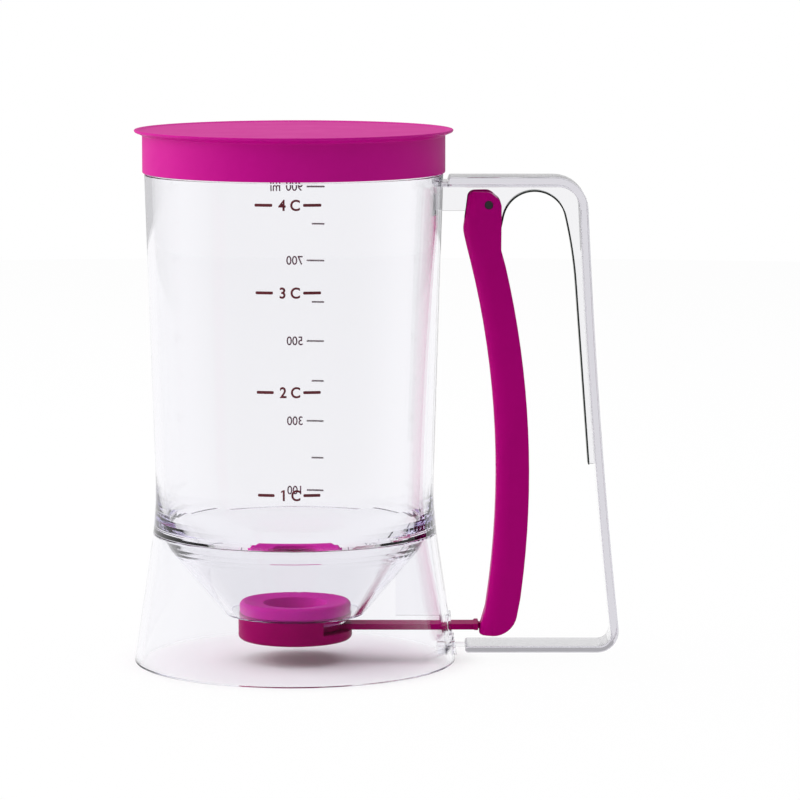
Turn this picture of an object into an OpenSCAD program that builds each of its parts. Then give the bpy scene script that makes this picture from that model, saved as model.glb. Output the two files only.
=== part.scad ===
// Pancake batter dispenser: a clear jug whose floor is a funnel, a push-on lid, and a
// sliding gate under the funnel that a sprung trigger in the handle pulls open.
// Units are millimetres. The origin is on the jug's axis, in the plane of its foot.
// +X points to the handle, -Y to the front with the cup scale, +Z up.

/* [Jug] */
// Height of the jug's rim above the foot
jug_h = 183.2; // [170:0.1:196]
// Outer diameter of the foot
foot_d = 112; // [108:0.5:116]
// Outer diameter where the wall and the skirt meet
waist_d = 96; // [94:0.5:98]
// Height at which the wall and the skirt meet
waist_h = 53.3; // [50:0.1:57]
// Outer diameter of the wall at the height of the rim
mouth_d = 103.8; // [101:0.1:106]
// Wall thickness of the jug
wall_t = 2.4; // [1.8:0.1:3]
// Wall thickness of the skirt, measured level
skirt_t = 2.2; // [1.6:0.1:2.8]
// Radius that blends the wall into the skirt
waist_round = 130; // [60:5:150]
// Radius inside the bowl, where the wall turns into the funnel
bowl_round = 24; // [12:1:28]

/* [Funnel] */
// Wall thickness of the funnel
funnel_t = 2.2; // [1.6:0.1:2.8]
// Slope of the funnel, from level
funnel_angle = 50; // [46:0.1:54]
// Height of the underside of the funnel's floor
floor_h = 16.4; // [15:0.1:19]
// Thickness of the funnel's floor
floor_t = 1.3; // [1:0.1:2]
// Diameter of the floor's flange
floor_d = 48; // [45:0.5:50]
// Diameter of the hole in the floor that the seal sits in
floor_bore_d = 24.8; // [23:0.1:26]
// Outer diameter of the collar below the floor that carries the valve cup
collar_d = 35.6; // [34:0.1:36.4]
// Wall thickness of that collar
collar_t = 1.8; // [1:0.1:2.2]
// Depth of that collar
collar_depth = 2.8; // [2:0.1:3]

/* [Lid] */
// Depth of the lid's skirt below its plate
lid_wall_h = 13.1; // [8:0.1:14]
// Wall thickness of the lid
lid_t = 1.1; // [1:0.1:2]
// Thickness of the lid's plate
lid_plate_t = 1.8; // [1.4:0.1:2.6]
// How far the lid's brim stands out beyond its skirt
lid_brim = 3; // [1.5:0.1:4]
// How far the jug's rim steps in to seat the lid
lid_step = 1.1; // [0.6:0.1:1.1]
// Depth of the sealing ring inside the lid
plug_depth = 7; // [4:0.5:10]
// Thickness of the sealing ring inside the lid
plug_t = 1.2; // [0.8:0.1:1.6]

/* [Valve] */
// Outer diameter of the valve cup
cup_d = 39.6; // [39.6:0.1:42]
// Thickness of the cup's floor
cup_floor_t = 1.8; // [1.2:0.1:2.2]
// How far the cup's wall and nozzle reach below the cup's floor
cup_foot = 1.7; // [0.6:0.1:2]
// Width of the slot in the cup's side, which the gate slides out through
slot_w = 34; // [32.5:0.5:35]
// Height of that slot above the gate
slot_rise = 2; // [1:0.1:2.2]
// Diameter of the outlet nozzle
outlet_d = 16; // [12:0.5:18]
// Wall thickness of the outlet nozzle
nozzle_t = 1.6; // [1:0.1:2]
// Diameter of the seal's flange inside the funnel
seal_d = 38.9; // [36:0.1:40.2]
// Thickness of the seal's flange
seal_flange_t = 4; // [2.2:0.1:4.6]
// Thickness of the seal's lower lip, which the gate slides against
seal_lip_t = 3.3; // [3.1:0.1:3.8]
// Diameter of the seal's bore at the gate
seal_bore_d = 18; // [14:0.5:20]
// Diameter of the seal's mouth inside the funnel
seal_mouth_d = 22.4; // [20.6:0.1:24]
// How far the seal's top falls from its edge to its mouth
seal_dish = 0.9; // [0:0.1:1.2]

/* [Gate] */
// Thickness of the gate and of its pull rod
gate_t = 2; // [1.6:0.1:2.6]
// Diameter of the gate
gate_d = 28.6; // [27:0.1:30]
// How far the gate reaches past the outlet's axis when closed
gate_lap = 12.4; // [11:0.1:13]
// Width of the pull rod
rod_w = 9; // [5:0.5:9.5]

/* [Handle] */
// Depth of the handle's bar, front to back
bar_w = 18; // [16:0.5:22]
// Height of the handle's top above the foot
handle_top = 169; // [160:0.1:169.6]
// Height of the handle's underside above the table
handle_foot = 3.6; // [2:0.1:3.8]
// Distance of the grip's outer face from the jug's axis, at the top
grip_top_x = 101.3; // [98:0.1:106]
// Distance of the grip's outer face from the jug's axis, at the foot
grip_foot_x = 112.4; // [108:0.1:118]
// How far the grip's outer face bows inwards
grip_bow = 1.05; // [0:0.05:2]
// Thickness of the top bar
top_bar_t = 3.5; // [3:0.1:4]
// Thickness of the grip
grip_t = 2.9; // [2.4:0.1:3.4]
// Thickness of the bottom bar
foot_bar_t = 2.3; // [2:0.1:2.6]
// Thickness of the rib inside the handle
rib_t = 3.2; // [2.4:0.1:4]
// Depth of the rib below the top bar, between the jug and the trigger
rib_h = 8.6; // [7:0.1:9]

/* [Trigger] */
// Width of the trigger, front to back
trigger_w = 15; // [14:0.5:17]
// Wall thickness of the trigger
trigger_t = 2.2; // [1.8:0.1:2.4]
// Depth of the trigger from its front face to its back edge
trigger_d = 11.4; // [10:0.1:11.6]
// Distance of the pivot from the jug's axis
pivot_x = 67.1; // [66:0.1:69]
// Diameter of the pivot pin
pin_d = 3; // [2.4:0.1:3.4]

/* [Spring] */
// Thickness of the spring strip
spring_t = 0.5; // [0.3:0.05:0.8]
// Width of the spring strip
spring_w = 7; // [5:0.5:8]
// Radius of the spring's bow
spring_bow = 11; // [10:0.1:11.4]

/* [Hidden] */
$fn = 96;
ARC = 8;              // segments in a rounded corner
BORE_CLEAR = 0.3;     // round pieces that seat in a hole
SLIDE_CLEAR = 0.1;    // flat faces that slide on each other
WALL_REACH = 10;      // long enough to pass right through a wall
PIN_CLEAR = 0.08;     // pivot pin in its bearing
EPS = 0.01;

clear_plastic = [0.93, 0.93, 0.96, 0.35];
magenta = [0.66, 0, 0.42];
silicone = [0.74, 0.2, 0.56];
steel = [0.45, 0.45, 0.46];

// ---- Paths ------------------------------------------------------------------

function unit(v) = v / norm(v);
function polar(c, r, a) = c + r * [cos(a), sin(a)];
function arc(c, r, a0, a1, n = ARC) = [for (i = [0:n]) polar(c, r, a0 + (a1 - a0) * i / n)];
function turn(a0, a1) = ((a1 - a0) % 360 + 540) % 360 - 180;

// The arc of radius r that rounds the corner b of the path a-b-c.
function corner(a, b, c, r) =
    let (u = unit(a - b), v = unit(c - b), half = acos(u * v) / 2,
         o = b + unit(u + v) * r / sin(half),
         p = b + u * r / tan(half) - o, q = b + v * r / tan(half) - o,
         a0 = atan2(p[1], p[0]), a1 = atan2(q[1], q[0]))
    arc(o, r, a0, a0 + turn(a0, a1));

function flat(v) = [v[0], v[1]];

// A closed outline from [x, y] or [x, y, radius] corners.
function rounded(p) = [
    for (i = [0:len(p) - 1])
        let (n = len(p), b = p[i], r = len(b) > 2 ? b[2] : 0)
        each r > 0
            ? corner(flat(p[(i + n - 1) % n]), flat(b), flat(p[(i + 1) % n]), r)
            : [flat(b)]
];

// Where the line through a along u crosses the line through b along v.
function crossing(a, u, b, v) =
    a + u * ((b - a)[0] * v[1] - (b - a)[1] * v[0]) / (u[0] * v[1] - u[1] * v[0]);

// A solid drawn in the handle's plane (X, Z) and w wide, front to back.
module plate(w) {
    rotate([90, 0, 0])
        translate([0, 0, -w / 2])
            linear_extrude(w)
                children();
}

// ---- Levels and lines that pieces share -------------------------------------

wall_lean = [mouth_d / 2 - waist_d / 2, jug_h - waist_h];
skirt_lean = [waist_d / 2 - foot_d / 2, waist_h];
function wall_r(z) = waist_d / 2 + wall_lean[0] * (z - waist_h) / wall_lean[1];
function skirt_r(z) = foot_d / 2 + skirt_lean[0] * z / skirt_lean[1];

floor_top = floor_h + floor_t;
gate_top = floor_h - seal_lip_t - SLIDE_CLEAR;
gate_foot = gate_top - gate_t;
rod_z = gate_foot + gate_t / 2;
cup_floor = gate_foot - SLIDE_CLEAR;
cup_bottom = cup_floor - cup_floor_t - cup_foot;
cup_in_r = collar_d / 2 + SLIDE_CLEAR;

lid_seat = jug_h;                                // underside of the lid's plate
neck_r = wall_r(jug_h) - lid_step;               // outside of the jug's rim
lid_in_r = neck_r + BORE_CLEAR;
lid_out_r = lid_in_r + lid_t;
mouth_r = wall_r(jug_h) - wall_t;                // inside of the jug's rim

bar_foot = handle_top - top_bar_t;
pivot = [pivot_x, bar_foot - 6.2];
corner_r = 11.5;                                 // outer radius of the handle's top corner
grip_knee = handle_top - corner_r - 0.5;         // where the grip leaves the top corner
grip_end = handle_foot + 8.9;                    // where it enters the bottom corner
function grip_x(z) =
    let (s = (grip_knee - z) / (grip_knee - grip_end))
    grip_top_x + (grip_foot_x - grip_top_x) * s - 4 * grip_bow * s * (1 - s);

// ---- Jug --------------------------------------------------------------------

module jug_profile() {
    slope = [cos(funnel_angle), sin(funnel_angle)];
    under = [floor_d / 2, floor_h];                      // where the funnel's underside starts
    over = under + funnel_t * [-slope[1], slope[0]];
    seat = crossing(over, slope, [0, floor_top], [1, 0]);
    bowl = crossing(over, slope, [wall_r(waist_h) - wall_t, waist_h], wall_lean);
    // near the wall the underside turns up with the bowl, and it meets the skirt at the crotch
    crotch_z = waist_h - 6;
    crotch = [skirt_r(crotch_z) - skirt_t, crotch_z];
    knee_x = crotch[0] - 3.5;
    knee = [knee_x, under[1] + (knee_x - under[0]) * tan(funnel_angle)];
    step_h = jug_h - lid_wall_h - 0.4;
    polygon(rounded([
        [foot_d / 2 - skirt_t, 0, 0.5],
        [foot_d / 2, 0, 0.5],
        [waist_d / 2, waist_h, waist_round],
        [wall_r(step_h), step_h, 0.4],
        [neck_r, step_h],
        [neck_r, jug_h, 0.5],
        [mouth_r, jug_h, 0.5],
        [bowl[0], bowl[1], bowl_round],
        seat,
        [floor_bore_d / 2, floor_top],
        [floor_bore_d / 2, floor_h],
        [collar_d / 2 - collar_t, floor_h],
        [collar_d / 2 - collar_t, floor_h - collar_depth],
        [collar_d / 2, floor_h - collar_depth],
        [collar_d / 2, floor_h],
        [under[0], under[1], 1.2],
        [knee[0], knee[1], 20],
        [crotch[0], crotch[1], 0.8]
    ]));
}

// The solid inside the jug's outer face, which trims what is bonded to it.
module jug_envelope(grow = 0) {
    rotate_extrude($fn = 144)
        polygon(rounded([
            [0, -1],
            [skirt_r(-1) + grow, -1],
            [waist_d / 2 + grow, waist_h, waist_round],
            [wall_r(jug_h) + grow, jug_h],
            [0, jug_h]
        ]));
}

// A level slot with round ends, long in Y, cut along X.
module rod_window(w, h, length) {
    rotate([0, 90, 0])
        linear_extrude(length) {
            square([h, w - h], center = true);
            for (side = [-1, 1])
                translate([0, side * (w - h) / 2])
                    circle(d = h);
        }
}

window_h = 6.6;
window_w = rod_w + 4.4;
window_z = rod_z + 0.15;
bead = 1;                                        // width and height of the window's bead
brace_x = 35;                                    // where the brace under the funnel ends
brace_t = 1.8;
peg_d = 1.7;                                     // pin on the handle's foot, and its hole
peg_z = handle_foot + foot_bar_t - peg_d / 2;
socket_r = 3.5;                                  // lug round that hole

// The upright brace between the funnel's underside and the skirt, above the pull rod.
module brace() {
    foot = window_z + window_h / 2;
    under_z = floor_h + (brace_x - floor_d / 2) * tan(funnel_angle);
    inside = skirt_r(foot) - skirt_t / 2;
    top = waist_h - 5;
    plate(brace_t)
        polygon([
            [brace_x, foot],
            [inside, foot],
            [skirt_r(top) - skirt_t / 2, top],
            [brace_x, under_z + funnel_t / 2]
        ]);
}

module jug_body() {
    color(clear_plastic)
        difference() {
            union() {
                rotate_extrude($fn = 144)
                    jug_profile();
                brace();
                intersection() {
                    translate([skirt_r(window_z) - skirt_t * 0.65, 0, window_z])
                        rod_window(window_w + 2 * bead, window_h + 2 * bead, WALL_REACH);
                    jug_envelope(bead * 0.7);
                }
                intersection() {
                    translate([skirt_r(peg_z) - skirt_t - socket_r, 0, peg_z])
                        rotate([0, 90, 0])
                            cylinder(r = socket_r, h = 3 * socket_r, $fn = 48);
                    jug_envelope(bead * 0.7);
                }
            }
            translate([brace_x + 4, 0, window_z])
                rod_window(window_w, window_h, foot_d / 2);
            translate([foot_d / 4, 0, peg_z])
                rotate([0, 90, 0])
                    cylinder(d = peg_d, h = foot_d / 2);
        }
}

// ---- Lid --------------------------------------------------------------------

module lid() {
    brim_r = lid_out_r + lid_brim;
    top = lid_seat + lid_plate_t;
    dish = 0.4;                                  // how far the middle lies below the brim
    plug_r = mouth_r - BORE_CLEAR - plug_depth * wall_lean[0] / wall_lean[1];
    color(magenta)
        rotate_extrude($fn = 144)
            polygon(rounded([
                [0, lid_seat],
                [plug_r - plug_t, lid_seat],
                [plug_r - plug_t, lid_seat - plug_depth],
                [plug_r - 0.4, lid_seat - plug_depth],
                [plug_r, lid_seat - plug_depth + 1.5],
                [plug_r, lid_seat],
                [lid_in_r, lid_seat],
                [lid_in_r, lid_seat - lid_wall_h, 0.3],
                [lid_out_r, lid_seat - lid_wall_h, 0.5],
                [lid_out_r, lid_seat - 0.1, 0.6],
                [brim_r - 0.5, top - 0.9, 0.3],
                [brim_r, top, 0.35],
                [brim_r - 1.4, top, 0.3],
                [brim_r - 3, top - dish],
                [0, top - dish]
            ]));
}

// ---- Valve ------------------------------------------------------------------

module outlet_seal() {
    top = floor_top + seal_flange_t;
    neck_d = floor_bore_d - 2 * BORE_CLEAR;
    lip_r = collar_d / 2 - collar_t - BORE_CLEAR;
    lip_top = floor_h - SLIDE_CLEAR;
    color(silicone)
        difference() {
            rotate_extrude()
                polygon(rounded([
                    [seal_bore_d / 2, floor_h - seal_lip_t],
                    [lip_r, floor_h - seal_lip_t, 0.4],
                    [lip_r, lip_top],
                    [neck_d / 2, lip_top],
                    [neck_d / 2, floor_top + EPS],
                    [seal_d / 2, floor_top + EPS],
                    [seal_d / 2, top, 1.6],
                    [seal_mouth_d / 2, top - seal_dish, 0.5],
                    [seal_bore_d / 2, floor_top - 0.8]
                ]));
            // the locating nick in the flange's back edge
            translate([0.8, seal_d / 2, top])
                rotate([90, 0, 0])
                    cylinder(d = 1.6, h = 4, center = true, $fn = 24);
        }
}

module valve_cup() {
    slot_foot = cup_floor;
    slot_top = gate_top + slot_rise;
    cup_top = floor_h - 0.2;
    recess_r = cup_in_r - 0.2;
    color(magenta)
        difference() {
            rotate_extrude()
                polygon(rounded([
                    [outlet_d / 2, cup_bottom],
                    [outlet_d / 2 + nozzle_t, cup_bottom],
                    [outlet_d / 2 + nozzle_t, cup_bottom + cup_foot],
                    [recess_r, cup_bottom + cup_foot],
                    [recess_r, cup_bottom, 0.3],
                    [cup_d / 2, cup_bottom, 1.6],
                    [cup_d / 2, cup_top, 0.3],
                    [cup_in_r, cup_top, 0.3],
                    [cup_in_r, cup_floor],
                    [outlet_d / 2, cup_floor]
                ]));
            translate([0, -slot_w / 2, slot_foot])
                cube([cup_d, slot_w, slot_top - slot_foot]);
        }
}

// ---- Trigger ----------------------------------------------------------------

grip_r = 309.6;                                  // radius of the trigger's front face
grip_mid = 65.5;                                 // height at which that face bulges most
grip_c = [pivot_x + 2.75 - grip_r, grip_mid];
function front_x(z, inset = 0) =
    grip_c[0] + sqrt(pow(grip_r + inset, 2) - pow(z - grip_c[1], 2));
function front_angle(z, inset = 0) = asin((z - grip_c[1]) / (grip_r + inset));

tail_z = gate_foot - 1.8;                        // the trigger's lowest point
toe_z = tail_z + 9.2;                            // where the toe starts to stand forward
toe_x = front_x(tail_z) - 1.1;
head_h = 15.3;                                   // the head's height under the pivot
head_z = pivot[1] - head_h;                      // where the grip meets the head
head_top = bar_foot - 1.7;
brow = pivot - [8.8, 9.2];                       // the head's foremost point
notch_over = 3;                                  // how far the notch's cut starts outside

module trigger_outline() {
    head_x = pivot[0] + 4.4;
    polygon(concat(
        rounded([
            [front_x(toe_z), toe_z],
            [toe_x, tail_z, 1.4],
            [front_x(tail_z, trigger_d) - 0.4, tail_z, 8.5],
            [front_x(toe_z + 4, trigger_d), toe_z + 4]
        ]),
        arc(grip_c, grip_r + trigger_d, front_angle(toe_z + 6, trigger_d),
            front_angle(head_z - 6, trigger_d), 16),
        rounded([
            [head_x - 0.1, head_z - 0.3],
            [head_x, pivot[1] + 1, 4],
            [pivot[0] + 0.4, head_top, 4],
            [pivot[0] - 7, head_top, 2.4],
            [pivot[0] - 8, pivot[1] - 3],
            [brow[0], brow[1], 9],
            [front_x(head_z), head_z]
        ]),
        arc(grip_c, grip_r, front_angle(head_z - 4), front_angle(toe_z + 2), 16)
    ));
}

// The room inside the trigger: open at the back and the tail, and open at the front above
// the front wall, where the handle's rib passes between the cheeks.
module trigger_room() {
    back = pivot[0] + 3 * trigger_d;
    front = brow[0] - trigger_d;
    wall_top = pivot[1] - 4.8;
    wall_x = brow[0] + trigger_t;
    polygon(concat(
        [[back, tail_z - 5], [front_x(tail_z - 5, trigger_t), tail_z - 5]],
        arc(grip_c, grip_r + trigger_t, front_angle(tail_z, trigger_t),
            front_angle(head_z - 1, trigger_t), 16),
        [[wall_x, brow[1]], [wall_x, wall_top], [front, wall_top],
         [front, handle_top], [back, handle_top]]
    ));
}

hook_w = 3.4;                                    // width of the rod where it passes the wall

module trigger_lever() {
    color(magenta)
        difference() {
            plate(trigger_w)
                trigger_outline();
            plate(trigger_w - 2 * trigger_t)
                trigger_room();
            translate([pivot[0], 0, pivot[1]])
                rotate([90, 0, 0])
                    cylinder(d = pin_d, h = trigger_w + 2, center = true);
            // the notch that the pull rod hooks into, open at the tail
            translate([toe_x - notch_over, -hook_w / 2 - 0.4, tail_z - notch_over])
                cube([WALL_REACH, hook_w + 0.8, gate_top + 0.4 - tail_z + notch_over]);
        }
}

module pivot_pin() {
    color(steel)
        translate([pivot[0], 0, pivot[1]])
            rotate([90, 0, 0])
                cylinder(d = pin_d, h = trigger_w - 0.6, center = true);
}

// ---- Gate -------------------------------------------------------------------

module gate_slider() {
    collar_x = toe_x + 0.2;                      // the shoulder in front of the trigger
    collar_l = 1.5;
    collar_w = rod_w + 2;
    head_x = front_x(gate_top, trigger_t) + 0.35; // the head behind the trigger's wall
    head_l = 2.4;
    head_w = trigger_w - 2 * trigger_t - 1.4;
    disc_x = gate_d / 2 - gate_lap;
    color(magenta) {
        translate([disc_x, 0, gate_foot])
            cylinder(d = gate_d, h = gate_t);
        translate([disc_x, -rod_w / 2, gate_foot])
            cube([collar_x - collar_l / 2 - disc_x, rod_w, gate_t]);
        translate([collar_x - collar_l / 2, -hook_w / 2, gate_foot])
            cube([head_x + head_l / 2 - collar_x + collar_l / 2, hook_w, gate_t]);
        translate([collar_x - collar_l, -collar_w / 2, gate_foot])
            cube([collar_l, collar_w, gate_t + 0.3]);
        translate([head_x, -head_w / 2, gate_foot - 0.7])
            cube([head_l, head_w, gate_t + 1.4]);
    }
}

// ---- Spring -----------------------------------------------------------------

bow_back = 15.8;                                 // from the pivot back to the bow's centre
bow_drop = 6.5;                                  // and down to it
bow_c = pivot + [bow_back, -bow_drop];           // centre of the spring's bow
bow_from = 168;                                  // where the bow meets the trigger's leg
bow_to = 13.5;                                   // where it opens into the grip's leg
leg_r = 150;                                     // the grip's leg starts as a wide curve
leg_to = 4.3;
leg_c = bow_c - (leg_r - spring_bow) * [cos(bow_to), sin(bow_to)];
leg_end_z = 68.9;                                // where the grip's leg and the rib end
trigger_leg = 27.2;                              // length of the leg inside the trigger

// The spring's line, set out by d to the outside of the bow, from the end of its leg in
// the trigger, which is reach long, over the bow and down to the end of the grip's leg.
function spring_line(d, reach) =
    let (start = polar(bow_c, spring_bow + d, bow_from),
         knee = polar(leg_c, leg_r + d, leg_to))
    concat(
        [start + reach * [-sin(bow_from), cos(bow_from)]],
        arc(bow_c, spring_bow + d, bow_from, bow_to, 24),
        arc(leg_c, leg_r + d, bow_to, leg_to, 6),
        [[knee[0] + (knee[1] - leg_end_z) * tan(leg_to), leg_end_z]]
    );
function backwards(p) = [for (i = [len(p) - 1:-1:0]) p[i]];

module return_spring() {
    color(steel)
        plate(spring_w)
            polygon(concat(
                spring_line(spring_t / 2, trigger_leg),
                backwards(spring_line(-spring_t / 2, trigger_leg))
            ));
}

// ---- Handle -----------------------------------------------------------------

module handle_bar() {
    start = waist_d / 2 - 4;                     // inside the jug, trimmed off later
    notch_x = wall_r(handle_top) + 2.1;
    foot_start = foot_d / 2 + 3.2;
    n = 12;
    grip = [for (i = [0:n]) grip_knee + (grip_end - grip_knee) * i / n];
    polygon(rounded(concat(
        [[start, bar_foot], [start, handle_top - 1.8], [notch_x - 0.6, handle_top - 1.8],
         [notch_x, handle_top, 0.6], [grip_x(handle_top), handle_top, corner_r]],
        [for (z = grip) [grip_x(z), z]],
        [[grip_x(handle_foot), handle_foot, 7.5], [foot_start, handle_foot, foot_bar_t * 0.45],
         [foot_start, handle_foot + foot_bar_t, foot_bar_t * 0.45],
         [grip_x(handle_foot + foot_bar_t) - grip_t, handle_foot + foot_bar_t, 4]],
        [for (i = [n:-1:0]) [grip_x(grip[i]) - grip_t, grip[i]]],
        [[grip_x(bar_foot) - grip_t, bar_foot, 7.5]]
    )));
}

module handle_rib() {
    start = waist_d / 2 - 4;
    inner = spring_line(spring_t / 2 + SLIDE_CLEAR, 4.7);
    tongue = inner[0];
    rib_foot = bar_foot - rib_h;
    polygon(concat(
        [[start, rib_foot], [pivot[0] - 2.6, rib_foot], [pivot[0] - 2.6, tongue[1]]],
        inner,
        [[grip_x(leg_end_z) - grip_t / 2, leg_end_z]],
        [for (i = [5:12]) let (z = grip_end + (grip_knee - grip_end) * i / 12)
            if (z > leg_end_z) [grip_x(z) - grip_t / 2, z]],
        arc([grip_x(handle_top) - corner_r, handle_top - corner_r],
            corner_r - top_bar_t / 2, 15, 90),
        [[start, handle_top - top_bar_t / 2]]
    ));
}

module handle_frame() {
    boss_w = trigger_w - 2 * trigger_t - 0.8;
    boss_r = 3.7;
    color(clear_plastic)
        difference() {
            union() {
                plate(bar_w)
                    handle_bar();
                plate(rib_t)
                    handle_rib();
                translate([pivot[0], 0, pivot[1]])
                    rotate([90, 0, 0])
                        cylinder(r = boss_r, h = boss_w, center = true);
                translate([foot_d / 2 - skirt_t, 0, peg_z])
                    rotate([0, 90, 0])
                        cylinder(d = peg_d, h = 5.6);
            }
            translate([pivot[0], 0, pivot[1]])
                rotate([90, 0, 0])
                    cylinder(d = pin_d + 2 * PIN_CLEAR, h = bar_w, center = true);
            intersection() {
                jug_envelope();
                translate([0, -bar_w, waist_h])
                    cube([foot_d, 2 * bar_w, jug_h]);
            }
        }
}

lid();
jug_body();
handle_frame();
trigger_lever();
pivot_pin();
return_spring();
gate_slider();
outlet_seal();
valve_cup();
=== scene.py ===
"""Pancake batter dispenser: moulded finishes, printed scales, bent spring and plain studio."""

import math

import bmesh
import bpy
from bpy.props import FloatProperty, PointerProperty, StringProperty
from mathutils import Matrix, Vector
from mathutils.bvhtree import BVHTree


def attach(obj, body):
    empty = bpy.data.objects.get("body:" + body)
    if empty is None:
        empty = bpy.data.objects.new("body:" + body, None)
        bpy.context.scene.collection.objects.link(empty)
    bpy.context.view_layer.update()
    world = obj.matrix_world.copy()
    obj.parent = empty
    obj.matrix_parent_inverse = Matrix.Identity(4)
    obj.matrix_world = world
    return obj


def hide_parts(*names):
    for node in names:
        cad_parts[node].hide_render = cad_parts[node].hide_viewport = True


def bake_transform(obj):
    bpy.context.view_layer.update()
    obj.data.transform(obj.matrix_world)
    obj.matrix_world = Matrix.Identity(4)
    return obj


bl_info = {
    "name": "Pancake Batter Dispenser",
    "version": (1, 0, 0),
    "blender": (4, 5, 0),
    "location": "3D View > Sidebar > Dispenser",
    "description": "Finishes, printed scales, spring and studio for a trigger batter dispenser",
    "category": "Add Mesh",
}

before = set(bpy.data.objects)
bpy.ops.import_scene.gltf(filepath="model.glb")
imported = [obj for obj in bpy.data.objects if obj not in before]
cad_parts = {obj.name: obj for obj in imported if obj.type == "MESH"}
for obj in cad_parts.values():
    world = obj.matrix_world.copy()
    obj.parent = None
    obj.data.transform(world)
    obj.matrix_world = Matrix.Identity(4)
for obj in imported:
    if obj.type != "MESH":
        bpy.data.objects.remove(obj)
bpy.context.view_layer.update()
MM = 0.001
PIVOT_X, PIVOT_Z = 67.1, 159.3  # where the trigger turns, in mm
JOINED = 0.002 * MM  # corners nearer than this are one corner
CAPITAL = 0.7  # a capital's height at a font size of 1


# ---- Settings ---------------------------------------------------------------


class DispenserColours(bpy.types.PropertyGroup):
    """Colours of the mouldings, the inks and the steel, as sRGB hex values."""

    lid: StringProperty(name="Lid", description="Colour of the push-on lid", default="#C2008A")
    # The trigger is moulded in the lid's plastic; its colour is the lid's painted darker, as
    # painted shade.
    trigger: StringProperty(name="Trigger", description="Colour of the trigger", default="#AC0074")
    # The cup and the gate are the lid's plastic as well; their colour is painted darker still, as
    # painted shade for their place under the funnel.
    valve: StringProperty(
        name="Valve", description="Colour of the cup and the gate", default="#940058"
    )
    seal: StringProperty(
        name="Seal", description="Colour of the soft outlet seal", default="#C2289A"
    )
    cup_ink: StringProperty(name="Cup ink", description="Ink of the cup scale", default="#641A26")
    millilitre_ink: StringProperty(
        name="Millilitre ink", description="Ink of the millilitre numerals", default="#5C2A40"
    )
    tick_ink: StringProperty(
        name="Tick ink", description="Ink of the millilitre ticks", default="#7C7675"
    )
    # The spring's colour is painted darker than bare steel, as painted reflection of the dark
    # camera side.
    spring: StringProperty(
        name="Spring", description="Colour of the spring strip", default="#4A524C"
    )
    pin: StringProperty(name="Pin", description="Colour of the pivot pin", default="#8A8A8E")


class DispenserSizes(bpy.types.PropertyGroup):
    """Sizes of the prints and the spring strip."""

    cup_text: FloatProperty(
        name="Cup numerals",
        description="Height of the cup scale's numerals",
        default=3.55 * MM,
        unit="LENGTH",
    )
    millilitre_text: FloatProperty(
        name="Millilitre numerals",
        description="Height of the millilitre scale's numerals",
        default=3.1 * MM,
        unit="LENGTH",
    )
    ink: FloatProperty(
        name="Ink thickness",
        description="How far the printed ink stands off the wall",
        default=0.04 * MM,
        unit="LENGTH",
    )
    strip: FloatProperty(
        name="Strip thickness",
        description="Thickness of the spring strip",
        default=0.5 * MM,
        unit="LENGTH",
    )
    strip_width: FloatProperty(
        name="Strip width",
        description="Width of the spring strip",
        default=7 * MM,
        unit="LENGTH",
    )


def colours():
    return bpy.context.scene.dispenser_colours


def sizes():
    return bpy.context.scene.dispenser_sizes


# ---- Materials --------------------------------------------------------------


def linear(code):
    """An sRGB hex value as the linear colour that shaders read."""
    parts = [int(code[i : i + 2], 16) / 255 for i in (1, 3, 5)]
    return (*[c / 12.92 if c <= 0.04045 else ((c + 0.055) / 1.055) ** 2.4 for c in parts], 1)


def add(tree, kind, values=None, links=None, **settings):
    """Adds a node, sets its settings and socket values, and links other sockets into it."""
    made = tree.nodes.new(kind)
    for key, value in settings.items():
        setattr(made, key, value)
    for key, value in (values or {}).items():
        made.inputs[key].default_value = value
    for key, socket in (links or {}).items():
        tree.links.new(socket, made.inputs[key])
    return made


def empty_material(name):
    material = bpy.data.materials.new(name)
    material.use_nodes = True
    material.node_tree.nodes.clear()
    return material, material.node_tree


def noise(tree, place, grain, detail):
    """Noise whose patches are as wide as grain, in metres."""
    return add(
        tree, "ShaderNodeTexNoise", {"Scale": 1 / grain, "Detail": detail}, {"Vector": place}
    )


def relief(tree, pattern, strength, height):
    """A noise pattern as the relief of a surface, height metres from low to high."""
    return add(
        tree,
        "ShaderNodeBump",
        {"Strength": strength, "Distance": height},
        {"Height": pattern.outputs["Fac"]},
    ).outputs["Normal"]


def between(tree, pattern, low, high):
    """A noise pattern spread between two values."""
    return add(
        tree,
        "ShaderNodeMapRange",
        {"To Min": low, "To Max": high},
        {"Value": pattern.outputs["Fac"]},
    ).outputs["Result"]


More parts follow.
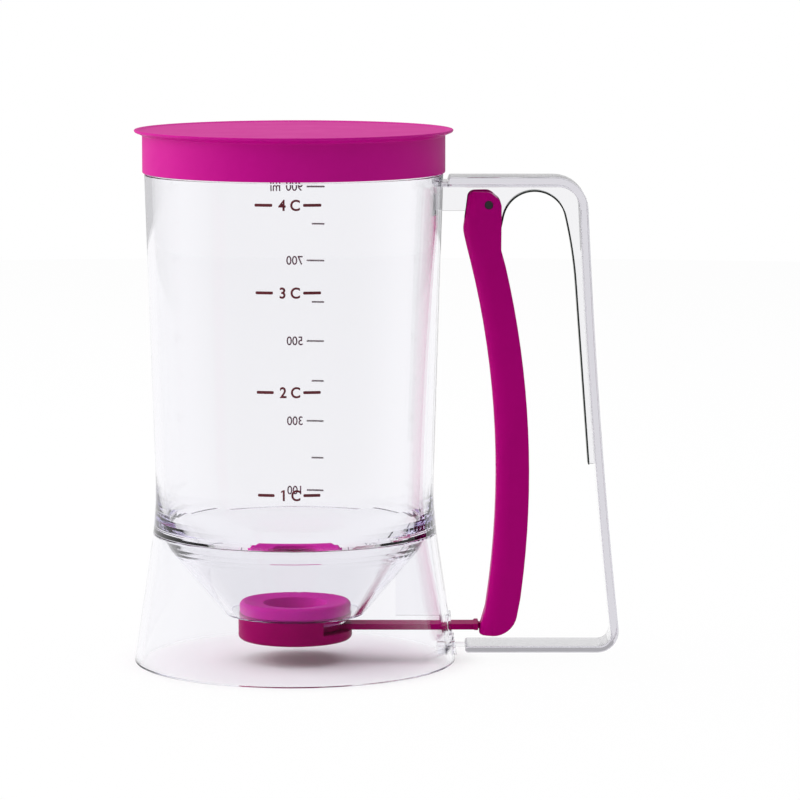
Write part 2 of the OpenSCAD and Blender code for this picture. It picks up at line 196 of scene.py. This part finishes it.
def clear_styrene(name, tint, density):
    # Clear styrene copolymer, moulded in a polished tool: sharp reflections over a faint slow
    # ripple where the melt flowed, and a grey-lavender tint that deepens with the thickness.
    material, tree = empty_material(name)
    place = add(tree, "ShaderNodeTexCoord").outputs["Object"]
    flow = noise(tree, place, 22 * MM, 2)
    haze = noise(tree, place, 5 * MM, 4)
    ripple = relief(tree, flow, 0.1, 0.06 * MM)
    body = add(
        tree,
        "ShaderNodeBsdfPrincipled",
        {
            "Base Color": linear("#FCFCFD"),
            "IOR": 1.57,
            "Specular Tint": (0.35, 0.35, 0.35, 1),
            "Transmission Weight": 1.0,
        },
        {
            "Roughness": between(tree, haze, 0.005, 0.03),
            "Normal": ripple,
        },
    )
    # Rays from the lamps and between matt surfaces go straight through.
    through = add(tree, "ShaderNodeBsdfTransparent", {"Color": (1, 1, 1, 1)})
    path = add(tree, "ShaderNodeLightPath")
    surface = body.outputs["BSDF"]
    for ray in ("Is Shadow Ray", "Is Diffuse Ray"):
        surface = add(
            tree,
            "ShaderNodeMixShader",
            {},
            {0: path.outputs[ray], 1: surface, 2: through.outputs["BSDF"]},
        ).outputs["Shader"]
    depth = add(tree, "ShaderNodeVolumeAbsorption", {"Color": (*tint, 1), "Density": density})
    add(
        tree,
        "ShaderNodeOutputMaterial",
        {},
        {"Surface": surface, "Volume": depth.outputs["Volume"]},
    )
    return material


def moulded_polypropylene(name, colour, gloss, gleam):
    # Coloured polypropylene from a fine-blasted tool: soft broad highlights, a fine skin of
    # shallow pits about half a millimetre apart, and slightly uneven gloss.
    material, tree = empty_material(name)
    place = add(tree, "ShaderNodeTexCoord").outputs["Object"]
    skin = noise(tree, place, 0.9 * MM, 3)
    sheen = noise(tree, place, 14 * MM, 3)
    shade = add(
        tree,
        "ShaderNodeMix",
        {"A": linear(colour), "B": tuple(0.9 * c for c in linear(colour)[:3]) + (1,)},
        {"Factor": sheen.outputs["Fac"]},
        data_type="RGBA",
    )
    pits = relief(tree, skin, 0.1, 0.05 * MM)
    body = add(
        tree,
        "ShaderNodeBsdfPrincipled",
        {"IOR": 1.49, "Specular IOR Level": gleam},
        {
            "Base Color": shade.outputs["Result"],
            "Roughness": between(tree, sheen, gloss, gloss + 0.1),
            "Normal": pits,
        },
    )
    add(tree, "ShaderNodeOutputMaterial", {}, {"Surface": body.outputs["BSDF"]})
    return material


def moulded_silicone(name, colour):
    # Silicone rubber, compression moulded: dull satin, light soaks in, dust-fine grain.
    material, tree = empty_material(name)
    place = add(tree, "ShaderNodeTexCoord").outputs["Object"]
    grain = noise(tree, place, 0.5 * MM, 4)
    film = noise(tree, place, 6 * MM, 2)
    bump = relief(tree, grain, 0.15, 0.04 * MM)
    body = add(
        tree,
        "ShaderNodeBsdfPrincipled",
        {
            "Base Color": linear(colour),
            "IOR": 1.41,
            "Specular IOR Level": 0.06,
            "Subsurface Weight": 0.1,
            "Subsurface Scale": 1.5 * MM,
        },
        {
            "Roughness": between(tree, film, 0.42, 0.58),
            "Normal": bump,
        },
    )
    add(tree, "ShaderNodeOutputMaterial", {}, {"Surface": body.outputs["BSDF"]})
    return material


def rolled_steel(name, colour, along):
    # Cold-rolled spring steel: fine lines run the way the strip was rolled, a satin in the colour
    # given; the spring's dark colour is a painted reflection.
    material, tree = empty_material(name)
    place = add(tree, "ShaderNodeTexCoord").outputs["Object"]
    turned = add(tree, "ShaderNodeMapping", {"Scale": along}, {"Vector": place})
    lines = noise(tree, turned.outputs["Vector"], 0.25 * MM, 2)
    bump = relief(tree, lines, 0.2, 0.02 * MM)
    body = add(
        tree,
        "ShaderNodeBsdfPrincipled",
        {"Base Color": linear(colour), "Metallic": 1.0},
        {
            "Roughness": between(tree, lines, 0.28, 0.42),
            "Normal": bump,
        },
    )
    add(tree, "ShaderNodeOutputMaterial", {}, {"Surface": body.outputs["BSDF"]})
    return material


def screen_ink(name, colour):
    # Screen-printed epoxy ink: flat and slightly uneven, with a faint print of the mesh.
    material, tree = empty_material(name)
    place = add(tree, "ShaderNodeTexCoord").outputs["Object"]
    mesh = noise(tree, place, 0.4 * MM, 2)
    shade = add(
        tree,
        "ShaderNodeMix",
        {"A": linear(colour), "B": tuple(1.25 * c for c in linear(colour)[:3]) + (1,)},
        {"Factor": mesh.outputs["Fac"]},
        data_type="RGBA",
    )
    body = add(
        tree,
        "ShaderNodeBsdfPrincipled",
        {},
        {
            "Base Color": shade.outputs["Result"],
            "Roughness": between(tree, mesh, 0.45, 0.6),
        },
    )
    add(tree, "ShaderNodeOutputMaterial", {}, {"Surface": body.outputs["BSDF"]})
    return material


# ---- Meshes -----------------------------------------------------------------


def new_piece(name, work, material, body, slot, *nodes):
    """Turns a bmesh into a piece that rides on a body and, if named, stands for CAD nodes."""
    mesh = bpy.data.meshes.new(name)
    work.to_mesh(mesh)
    work.free()
    mesh.materials.append(material)
    piece = bpy.data.objects.new(name, mesh)
    bpy.context.scene.collection.objects.link(piece)
    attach(piece, body)
    if nodes:
        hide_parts(*nodes)
    return piece


def finger_line(work, pivot):
    """The pieces of outline on a channel's finger side, seen from the side."""
    half = max(v.co.y for v in work.verts)
    pin_hole = 3 * MM
    line = []
    for edge in work.edges:
        if not edge.is_manifold or min(v.co.y for v in edge.verts) < half - 0.01 * MM:
            continue
        walls = [f for f in edge.link_faces if abs(f.normal.y) < 0.5]
        a, b = (Vector((v.co.x, 0, v.co.z)) for v in edge.verts)
        if len(walls) == 1 and walls[0].normal.x < -0.3 and (a - pivot).length > pin_hole:
            line.append((a, b))
    return line


def off_piece(point, a, b):
    """Distance from a point to a straight piece of line."""
    along = b - a
    share = max(0.0, min(1.0, (point - a).dot(along) / along.length_squared))
    return (point - a - along * share).length


def crowned(work, line, high, wide):
    """Rounds a channel's two flat sides off towards the line, by high over the width wide."""
    half = max(v.co.y for v in work.verts)
    eased_edge = 0.45 * MM
    cross_step, length_step = 0.5 * MM, 3.0 * MM
    for axis, step in ((0, cross_step), (2, length_step)):
        places = [v.co[axis] for v in work.verts]
        across = Vector([float(i == axis) for i in range(3)])
        for i in range(1, int((max(places) - min(places)) / step)):
            flat = [
                f
                for f in work.faces
                if abs(f.normal.y) > 0.999 and abs(f.verts[0].co.y) > half - 0.01 * MM
            ]
            parts = {p for f in flat for p in (*f.edges, *f.verts)}
            bmesh.ops.bisect_plane(
                work,
                geom=flat + list(parts),
                plane_co=across * (min(places) + i * step),
                plane_no=across,
            )
    for vert in work.verts:
        if abs(vert.co.y) > half - eased_edge:
            flat_place = Vector((vert.co.x, 0, vert.co.z))
            away = min(off_piece(flat_place, a, b) for a, b in line)
            if away < wide:
                rest = 1 - math.sqrt(1 - (1 - away / wide) ** 2)
                vert.co.y -= math.copysign(high * rest, vert.co.y)


def finish_moulding(node, material):
    """Gives a packed moulding its material."""
    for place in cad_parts[node].material_slots:
        place.material = material


def even_normals(piece):
    """Large faces keep their own normals beside the small rounds of their edges."""
    weighted = piece.modifiers.new("even normals", "WEIGHTED_NORMAL")
    weighted.keep_sharp = True
    weighted.weight = 100


def shade(work, angle):
    """Smooth shading, with the edges sharper than the angle left crisp."""
    for face in work.faces:
        face.smooth = True
    for edge in work.edges:
        edge.smooth = not edge.is_manifold or edge.calc_face_angle() < math.radians(angle)


def sharp_edges(work, angle):
    return [e for e in work.edges if e.is_manifold and e.calc_face_angle() > math.radians(angle)]


def joined_copy(node):
    """The node's triangles with their corners joined and its flat faces made whole."""
    work = bmesh.new()
    work.from_mesh(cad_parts[node].data)
    bmesh.ops.remove_doubles(work, verts=work.verts, dist=JOINED)
    bmesh.ops.dissolve_limit(
        work, angle_limit=math.radians(0.25), verts=work.verts, edges=work.edges
    )
    return work


def eased(work, width, angle=40, side=None):
    """Breaks the sharp edges, or only those that lie on the two outer sides, with a round."""
    edges = sharp_edges(work, angle)
    if side:
        edges = [e for e in edges if min(abs(v.co.y) for v in e.verts) > side]
    bmesh.ops.bevel(
        work,
        geom=edges,
        offset=width,
        segments=3 if side else 2,
        profile=0.5,
        affect="EDGES",
        material=-1,
        clamp_overlap=True,
    )


# ---- Operators: the mouldings -----------------------------------------------


class DISPENSER_OT_clear_mouldings(bpy.types.Operator):
    """The clear jug and the clear handle frame."""

    bl_idname = "dispenser.clear_mouldings"
    bl_label = "Clear Mouldings"

    def execute(self, context):
        jug_styrene = clear_styrene("clear_styrene_jug", tint=(0.42, 0.3, 0.9), density=6)
        finish_moulding("jug_body", jug_styrene)
        handle = joined_copy("handle_frame")
        eased(handle, 0.55 * MM, side=8.9 * MM)
        shade(handle, 50)
        bar_styrene = clear_styrene(
            "clear_styrene_handle", tint=(0.36, 0.32, 0.44), density=26
        )
        even_normals(
            new_piece("handle", handle, bar_styrene, "base", "clear_handle", "handle_frame")
        )
        return {"FINISHED"}


class DISPENSER_OT_lid(bpy.types.Operator):
    """The push-on lid."""

    bl_idname = "dispenser.lid"
    bl_label = "Lid"

    def execute(self, context):
        plastic = moulded_polypropylene(
            "polypropylene_lid", colours().lid, gloss=0.42, gleam=0.12
        )
        finish_moulding("lid", plastic)
        return {"FINISHED"}


class DISPENSER_OT_trigger(bpy.types.Operator):
    """The channel-shaped trigger and the pin that it turns on."""

    bl_idname = "dispenser.trigger"
    bl_label = "Trigger"

    def execute(self, context):
        trigger = joined_copy("trigger_lever")
        line = finger_line(trigger, Vector((PIVOT_X, 0, PIVOT_Z)) * MM)
        eased(trigger, 0.4 * MM)
        crowned(trigger, line, high=3 * MM, wide=5 * MM)
        shade(trigger, 50)
        plastic = moulded_polypropylene(
            "polypropylene_trigger", colours().trigger, gloss=0.34, gleam=0.03
        )
        lever = new_piece(
            "trigger", trigger, plastic, "trigger_part", "trigger_plastic", "trigger_lever"
        )
        even_normals(lever)
        pin = joined_copy("pivot_pin")
        eased(pin, 0.25 * MM)
        shade(pin, 40)
        steel = rolled_steel("turned_steel_pin", colours().pin, along=(1, 0.1, 1))
        even_normals(new_piece("pin", pin, steel, "trigger_part", "pin_steel", "pivot_pin"))
        return {"FINISHED"}


class DISPENSER_OT_valve(bpy.types.Operator):
    """The soft outlet seal, the valve cup and the sliding gate with its pull rod."""

    bl_idname = "dispenser.valve"
    bl_label = "Valve"

    def execute(self, context):
        finish_moulding("outlet_seal", moulded_silicone("silicone_seal", colours().seal))
        plastic = moulded_polypropylene(
            "polypropylene_valve", colours().valve, gloss=0.28, gleam=0.02
        )
        finish_moulding("valve_cup", plastic)
        gate = joined_copy("gate_slider")
        eased(gate, 0.25 * MM)
        shade(gate, 40)
        even_normals(new_piece("gate", gate, plastic, "gate_part", "gate_plastic", "gate_slider"))
        return {"FINISHED"}


# ---- Operators: the spring --------------------------------------------------


def polar(centre, radius, degrees):
    return centre + radius * Vector(
        (math.cos(math.radians(degrees)), 0, math.sin(math.radians(degrees)))
    )


def spring_line(out):
    """The strip's line, out to the bow's outside, from its tip in the trigger to the grip."""
    bow_radius, grip_radius = 11.0, 150.0
    leg_angle, grip_angle, foot_angle = 168, 13.5, 4.3
    leg_length, foot_z = 27.2, 68.9
    bow, wide = bow_radius + out / MM, grip_radius + out / MM
    centre = Vector((PIVOT_X + 15.8, 0, PIVOT_Z - 6.5))
    far = polar(centre, bow_radius - grip_radius, grip_angle)
    first = polar(centre, bow, leg_angle)
    leg = Vector((-math.sin(math.radians(leg_angle)), 0, math.cos(math.radians(leg_angle))))
    bow_turn, grip_turn = grip_angle - leg_angle, foot_angle - grip_angle
    points = [first + leg * leg_length * (1 - i / 14) for i in range(14)]
    points += [polar(centre, bow, leg_angle + bow_turn * i / 32) for i in range(33)]
    points += [polar(far, wide, grip_angle + grip_turn * i / 8) for i in range(1, 9)]
    knee = points[-1]
    foot_x = knee.x + (knee.z - foot_z) * math.tan(math.radians(foot_angle))
    points += [knee.lerp(Vector((foot_x, 0, foot_z)), i / 10) for i in range(1, 11)]
    return [p * MM for p in points]


class DISPENSER_OT_spring(bpy.types.Operator):
    """The bent return spring, a strip from its tip in the trigger to the grip."""

    bl_idname = "dispenser.spring"
    bl_label = "Return Spring"

    def execute(self, context):
        work = bmesh.new()
        width, thick = sizes().strip_width, sizes().strip
        line = [work.verts.new(p) for p in spring_line(thick / 2)]
        edges = [work.edges.new(pair) for pair in zip(line, line[1:])]
        pulled = bmesh.ops.extrude_edge_only(work, edges=edges)["geom"]
        moved = [v for v in pulled if isinstance(v, bmesh.types.BMVert)]
        bmesh.ops.translate(work, vec=(0, width, 0), verts=moved)
        bmesh.ops.translate(work, vec=(0, -width / 2, 0), verts=work.verts)
        bmesh.ops.recalc_face_normals(work, faces=work.faces)
        bmesh.ops.solidify(work, geom=work.faces[:], thickness=thick)
        bmesh.ops.recalc_face_normals(work, faces=work.faces)
        eased(work, 0.12 * MM, 60)
        shade(work, 40)
        steel = rolled_steel("rolled_spring_steel", colours().spring, along=(1, 1, 0.08))
        strip = new_piece("spring_strip", work, steel, "base", "spring_steel", "return_spring")
        strip.parent = None
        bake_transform(strip)
        return {"FINISHED"}


# ---- Operators: the printed scales ------------------------------------------


def jug_wall():
    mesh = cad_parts["jug_body"].data
    return BVHTree.FromPolygons(
        [v.co for v in mesh.vertices], [p.vertices for p in mesh.polygons]
    )


def text_mesh(words, height, middle, weight):
    """Printed words as a flat bmesh in the XZ plane, centred on a point, thickened by weight."""
    curve = bpy.data.curves.new("print", "FONT")
    curve.body = words
    curve.size = height / CAPITAL
    curve.align_x = "CENTER"
    curve.align_y = "CENTER"
    curve.offset = weight
    holder = bpy.data.objects.new("print", curve)
    bpy.context.scene.collection.objects.link(holder)
    bpy.context.view_layer.update()
    mesh = bpy.data.meshes.new_from_object(
        holder.evaluated_get(bpy.context.evaluated_depsgraph_get())
    )
    bpy.data.objects.remove(holder)
    bpy.data.curves.remove(curve)
    work = bmesh.new()
    work.from_mesh(mesh)
    bpy.data.meshes.remove(mesh)
    bmesh.ops.remove_doubles(work, verts=work.verts, dist=JOINED)
    low = min(v.co.y for v in work.verts)
    high = max(v.co.y for v in work.verts)
    narrowed = 0.94
    bmesh.ops.translate(work, vec=(0, -(low + high) / 2, 0), verts=work.verts)
    bmesh.ops.transform(
        work,
        matrix=Matrix.Translation((middle[0] * MM, 0, middle[1] * MM))
        @ Matrix.Rotation(math.radians(90), 4, "X")
        @ Matrix.Diagonal((narrowed, 1, 1, 1)),
        verts=work.verts,
    )
    return work


def add_flag(work):
    """Adds the short flag at the top of a numeral 1 that starts a print."""
    left = min(v.co.x for v in work.verts)
    top = max(v.co.z for v in work.verts if v.co.x < left + 0.3 * MM)
    corners = ((0.1, 0), (0.1, -0.6), (-0.65, -1.0), (-0.65, -0.5))
    work.faces.new([work.verts.new((left + x * MM, 0, top + z * MM)) for x, z in corners])


def dash_mesh(x0, x1, z, thickness):
    """One printed dash as a flat bmesh with rounded corners."""
    work = bmesh.new()
    corners = [
        work.verts.new((x * MM, 0, (z + side * thickness / 2) * MM))
        for side, x in ((-1, x0), (-1, x1), (1, x1), (1, x0))
    ]
    work.faces.new(corners)
    bmesh.ops.bevel(
        work,
        geom=work.verts[:],
        offset=thickness * 0.35 * MM,
        segments=3,
        profile=0.5,
        affect="VERTICES",
        material=-1,
    )
    return work


def gather(parts):
    """One bmesh out of several."""
    whole = bmesh.new()
    for part in parts:
        mesh = bpy.data.meshes.new("part")
        part.to_mesh(mesh)
        part.free()
        whole.from_mesh(mesh)
        bpy.data.meshes.remove(mesh)
    return whole


def wrap(work, facing):
    """Bends a flat print onto the jug's wall, at the front (-1) or the back (+1)."""
    wall = jug_wall()
    step, wall_radius, outside = 1.2 * MM, 50 * MM, 80 * MM
    reach = max(abs(v.co.x) for v in work.verts)
    steps = int(reach / step) + 1
    for i in range(-steps, steps + 1):
        bmesh.ops.bisect_plane(
            work,
            geom=work.verts[:] + work.edges[:] + work.faces[:],
            plane_co=(i * step, 0, 0),
            plane_no=(1, 0, 0),
        )
    for vert in work.verts:
        turn = vert.co.x / wall_radius
        out = Vector((-facing * math.sin(turn), facing * math.cos(turn), 0))
        start = out * outside + Vector((0, 0, vert.co.z))
        hit = wall.ray_cast(start, -out)[0]
        if hit is None:
            raise RuntimeError("a print misses the jug's wall")
        vert.co = hit + out * sizes().ink / 2
    bmesh.ops.recalc_face_normals(work, faces=work.faces)
    for face in work.faces:
        if face.normal.y * facing < 0:
            face.normal_flip()


def printed(name, parts, facing, ink):
    """A piece of dried ink on the jug, gathered from flat parts."""
    work = gather(parts)
    wrap(work, facing)
    piece = new_piece(name, work, ink, "base", "clear_jug")
    solid = piece.modifiers.new("ink", "SOLIDIFY")
    solid.thickness = sizes().ink
    solid.offset = 1


class DISPENSER_OT_cup_scale(bpy.types.Operator):
    """The cup scale on the front of the jug."""

    bl_idname = "dispenser.cup_scale"
    bl_label = "Cup Scale"

    def execute(self, context):
        ink = screen_ink("screen_ink_cups", colours().cup_ink)
        parts = []
        for cups, z in ((4, 162.5), (3, 133.1), (2, 99.5), (1, 64.5)):
            words = text_mesh(f"{cups} C", sizes().cup_text, (-0.25, z), weight=0.13 * MM)
            if cups == 1:
                add_flag(words)
            parts.append(words)
            for start, end in ((-11.7, -5.8), (4.2, 10.2)):
                parts.append(dash_mesh(start, end, z, thickness=1.0))
        printed("cup_scale", parts, -1, ink)
        return {"FINISHED"}


class DISPENSER_OT_millilitre_scale(bpy.types.Operator):
    """The millilitre scale on the back of the jug, which reads from behind."""

    bl_idname = "dispenser.millilitre_scale"
    bl_label = "Millilitre Scale"

    def execute(self, context):
        words, ticks = [], []
        height, weight = sizes().millilitre_text, 0.05 * MM
        heights = (52.8, 64.5, 77.8, 92.2, 106.5, 120.5, 135.3, 148.5, 161.6)
        for i, z in enumerate(heights):
            numbered = i % 2 == 0
            ticks.append(dash_mesh(-9.9, -3.3 if numbered else -5.2, z, thickness=0.6))
            if numbered:
                words.append(text_mesh(f"{(i + 1) * 100}", height, (1.1, z), weight))
        words.append(text_mesh("ml", height, (8.0, heights[-1]), weight))
        word_ink = screen_ink("screen_ink_ml", colours().millilitre_ink)
        tick_ink = screen_ink("screen_ink_ticks", colours().tick_ink)
        printed("millilitre_numerals", words, 1, word_ink)
        printed("millilitre_ticks", ticks, 1, tick_ink)
        return {"FINISHED"}


# ---- Operators: the studio --------------------------------------------------


def lamp(name, place, aim, size, watts):
    data = bpy.data.lights.new(name, "AREA")
    data.shape = "RECTANGLE"
    data.size, data.size_y = size
    data.energy = watts
    holder = bpy.data.objects.new(name, data)
    holder.location = place
    holder.rotation_euler = (Vector(aim) - Vector(place)).to_track_quat("-Z", "Y").to_euler()
    # What is mirrored is the surround, which has no hard edges.
    holder.visible_glossy = False
    holder.visible_transmission = False
    bpy.context.scene.collection.objects.link(holder)


def maths(tree, operation, a, b):
    """One sum of two sockets or plain numbers."""
    node = add(tree, "ShaderNodeMath", operation=operation)
    for place, value in enumerate((a, b)):
        if isinstance(value, (int, float)):
            node.inputs[place].default_value = value
        else:
            tree.links.new(value, node.inputs[place])
    return node.outputs["Value"]


def seen(tree):
    """1 for the rays that show the background: from the camera, or off or through a surface."""
    path = add(tree, "ShaderNodeLightPath").outputs
    shown = maths(tree, "MAXIMUM", path["Is Camera Ray"], path["Is Glossy Ray"])
    shown = maths(tree, "MAXIMUM", shown, path["Is Transmission Ray"])
    direct = maths(tree, "LESS_THAN", path["Diffuse Depth"], 0.5)
    return maths(tree, "MULTIPLY", shown, direct)


def mirrored(tree):
    """1 for what a surface mirrors at the first bounce."""
    return maths(tree, "COMPARE", add(tree, "ShaderNodeLightPath").outputs["Glossy Depth"], 1.0)


# Where a direction's Y lies when the dimming starts and ends, and the share that it takes off.
FRONT_DARK = (0.2, -0.8, 0.9)
BACK_DIM = (0.3, 0.95, 0.45)


def surround_level(tree, towards, sides):
    """The white surround's strength, dimmed on the given sides where a surface mirrors it."""
    across = add(tree, "ShaderNodeSeparateXYZ", {}, {0: towards}).outputs["Y"]
    dimmed = 0.0
    for start, end, share in sides:
        side = add(
            tree,
            "ShaderNodeMapRange",
            {"From Min": start, "From Max": end, "To Min": 0.0, "To Max": share},
            {"Value": across},
            interpolation_type="SMOOTHSTEP",
        ).outputs["Result"]
        dimmed = maths(tree, "ADD", dimmed, side)
    return maths(tree, "SUBTRACT", 1.0, maths(tree, "MULTIPLY", dimmed, mirrored(tree)))


class DISPENSER_OT_studio(bpy.types.Operator):
    """A pale floor, soft lamps, a white surround and the camera."""

    bl_idname = "dispenser.studio"
    bl_label = "Studio"

    def execute(self, context):
        scene = context.scene
        scene.view_settings.view_transform = "Standard"
        self.floor()
        self.surround(scene)
        lamp("key", (-1.42, 0.1, 0.5), aim=(0, 0, 0.1), size=(2.2, 2.2), watts=38)
        lamp("top", (0.05, 0.15, 1.3), aim=(0.03, 0, 0.05), size=(1.6, 1.6), watts=10)
        # Light turns many times inside thick clear plastic before it gets out.
        scene.cycles.max_bounces = 40
        scene.cycles.transmission_bounces = 40
        scene.cycles.glossy_bounces = 24
        scene.cycles.transparent_max_bounces = 24
        self.camera(scene)
        return {"FINISHED"}

    def camera(self, scene):
        data = bpy.data.cameras.new("camera")
        data.lens = 189.5
        data.sensor_width = 36
        data.clip_start, data.clip_end = 0.05, 50
        holder = bpy.data.objects.new("camera", data)
        across = 0.03657
        holder.location = (across, -1.45, 0.268)
        aim = Vector((across, 0, 0.09102)) - holder.location
        holder.rotation_euler = aim.to_track_quat("-Z", "Y").to_euler()
        scene.collection.objects.link(holder)
        scene.camera = holder

    def floor(self):
        gap = 0.05 * MM
        work = bmesh.new()
        bmesh.ops.create_circle(work, cap_ends=True, segments=96, radius=1.6)
        bmesh.ops.translate(work, vec=(0, 0, -gap), verts=work.verts)
        mesh = bpy.data.meshes.new("floor")
        work.to_mesh(mesh)
        work.free()
        # Matt white laminate: it holds a soft shadow under the object and turns into the white
        # surround just past the foot. Where a surface mirrors it, it is all surround.
        material, tree = empty_material("matt_white_laminate")
        place = add(tree, "ShaderNodeTexCoord").outputs["Object"]
        far = add(tree, "ShaderNodeVectorMath", {}, {0: place}, operation="LENGTH")
        towards = add(tree, "ShaderNodeVectorMath", {}, {0: place}, operation="NORMALIZE")
        fade_start, fade_end, white_share = 0.04, 0.068, 0.95
        fade = add(
            tree,
            "ShaderNodeMapRange",
            {
                "From Min": fade_start,
                "From Max": fade_end,
                "To Min": 0.0,
                "To Max": white_share,
            },
            {"Value": far.outputs["Value"]},
            interpolation_type="SMOOTHSTEP",
        )
        bare = maths(tree, "MAXIMUM", fade.outputs["Result"], mirrored(tree))
        shown = maths(tree, "MULTIPLY", bare, seen(tree))
        matt = add(
            tree, "ShaderNodeBsdfPrincipled", {"Base Color": linear("#F7F6F6"), "Roughness": 0.6}
        )
        white = add(
            tree,
            "ShaderNodeEmission",
            {"Color": (1, 1, 1, 1)},
            {"Strength": surround_level(tree, towards.outputs["Vector"], (FRONT_DARK,))},
        )
        mixed = add(
            tree,
            "ShaderNodeMixShader",
            {},
            {0: shown, 1: matt.outputs["BSDF"], 2: white.outputs["Emission"]},
        )
        add(tree, "ShaderNodeOutputMaterial", {}, {"Surface": mixed.outputs["Shader"]})
        mesh.materials.append(material)
        floor = bpy.data.objects.new("floor", mesh)
        bpy.context.scene.collection.objects.link(floor)

    def surround(self, scene):
        world = bpy.data.worlds.new("white_surround")
        world.use_nodes = True
        tree = world.node_tree
        tree.nodes.clear()
        light = add(
            tree, "ShaderNodeBackground", {"Color": linear("#F4F5F8"), "Strength": 0.47}
        )
        towards = add(tree, "ShaderNodeTexCoord").outputs["Generated"]
        white = add(
            tree,
            "ShaderNodeBackground",
            {"Color": (1, 1, 1, 1)},
            {"Strength": surround_level(tree, towards, (FRONT_DARK, BACK_DIM))},
        )
        mixed = add(
            tree,
            "ShaderNodeMixShader",
            {},
            {0: seen(tree), 1: light.outputs["Background"], 2: white.outputs["Background"]},
        )
        add(tree, "ShaderNodeOutputWorld", {}, {"Surface": mixed.outputs["Shader"]})
        scene.world = world


# ---- Panel and registration -------------------------------------------------


PIECES = (
    DISPENSER_OT_clear_mouldings,
    DISPENSER_OT_lid,
    DISPENSER_OT_trigger,
    DISPENSER_OT_valve,
    DISPENSER_OT_spring,
    DISPENSER_OT_cup_scale,
    DISPENSER_OT_millilitre_scale,
    DISPENSER_OT_studio,
)


class DISPENSER_PT_panel(bpy.types.Panel):
    """Lists the dispenser's pieces and its studio."""

    bl_idname = "DISPENSER_PT_panel"
    bl_label = "Batter Dispenser"
    bl_space_type = "VIEW_3D"
    bl_region_type = "UI"
    bl_category = "Dispenser"

    def draw(self, context):
        column = self.layout.column()
        for group in (context.scene.dispenser_colours, context.scene.dispenser_sizes):
            for name in group.__annotations__:
                column.prop(group, name)
        for operator in PIECES:
            column.operator(operator.bl_idname)


CLASSES = (DispenserColours, DispenserSizes, *PIECES, DISPENSER_PT_panel)


def register():
    for item in CLASSES:
        bpy.utils.register_class(item)
    bpy.types.Scene.dispenser_colours = PointerProperty(type=DispenserColours)
    bpy.types.Scene.dispenser_sizes = PointerProperty(type=DispenserSizes)


def unregister():
    del bpy.types.Scene.dispenser_sizes
    del bpy.types.Scene.dispenser_colours
    for item in reversed(CLASSES):
        bpy.utils.unregister_class(item)


def main():
    register()
    for operator in PIECES:
        group, name = operator.bl_idname.split(".")
        getattr(getattr(bpy.ops, group), name)()
    bpy.context.view_layer.update()


if __name__ == "__main__":
    main()
